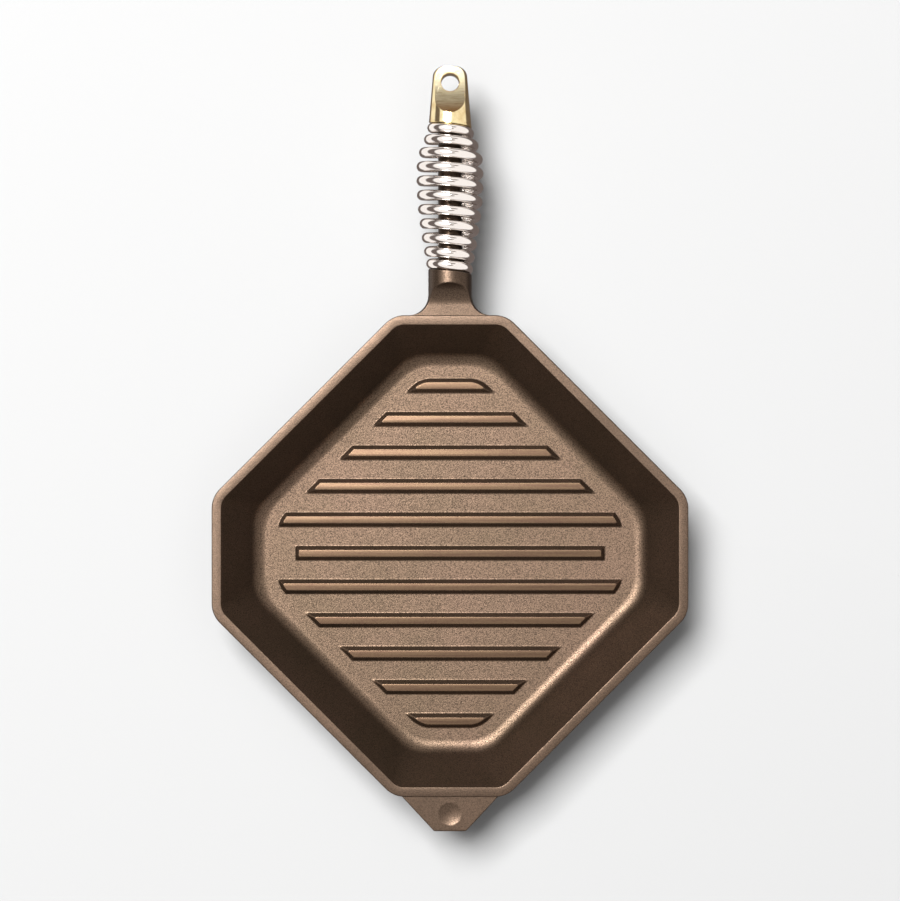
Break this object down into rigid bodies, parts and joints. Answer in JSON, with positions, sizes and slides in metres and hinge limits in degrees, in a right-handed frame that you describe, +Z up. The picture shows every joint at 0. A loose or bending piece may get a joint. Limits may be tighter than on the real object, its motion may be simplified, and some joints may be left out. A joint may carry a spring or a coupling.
{
  "type": "grill pan",
  "caption": "Octagonal cast-iron grill pan with a ridged floor, sloped walls, a coiled wire grip with a brass cap and hang hole, and a helper tab.",
  "frame": {"origin": "centre of the base's flat underside, which the pan rests on", "axes": "+Z up out of the well, +Y out along the handle, +X to the right when the handle points away"},
  "size_m": [0.2744, 0.4406, 0.0583],
  "materials": {
    "seasoned_iron": "bronze-brown oil seasoning over a fine cast grain",
    "polished_steel": "polished stainless wire",
    "zinc_steel": "bright zinc plating",
    "turned_brass": "turned and polished, milled flats"
  },
  "bodies": {
    "root": {"pan_casting": "seasoned_iron", "handle_coil": "polished_steel", "cap_stud": "zinc_steel", "end_cap": "turned_brass"}
  },
  "joints": []
}
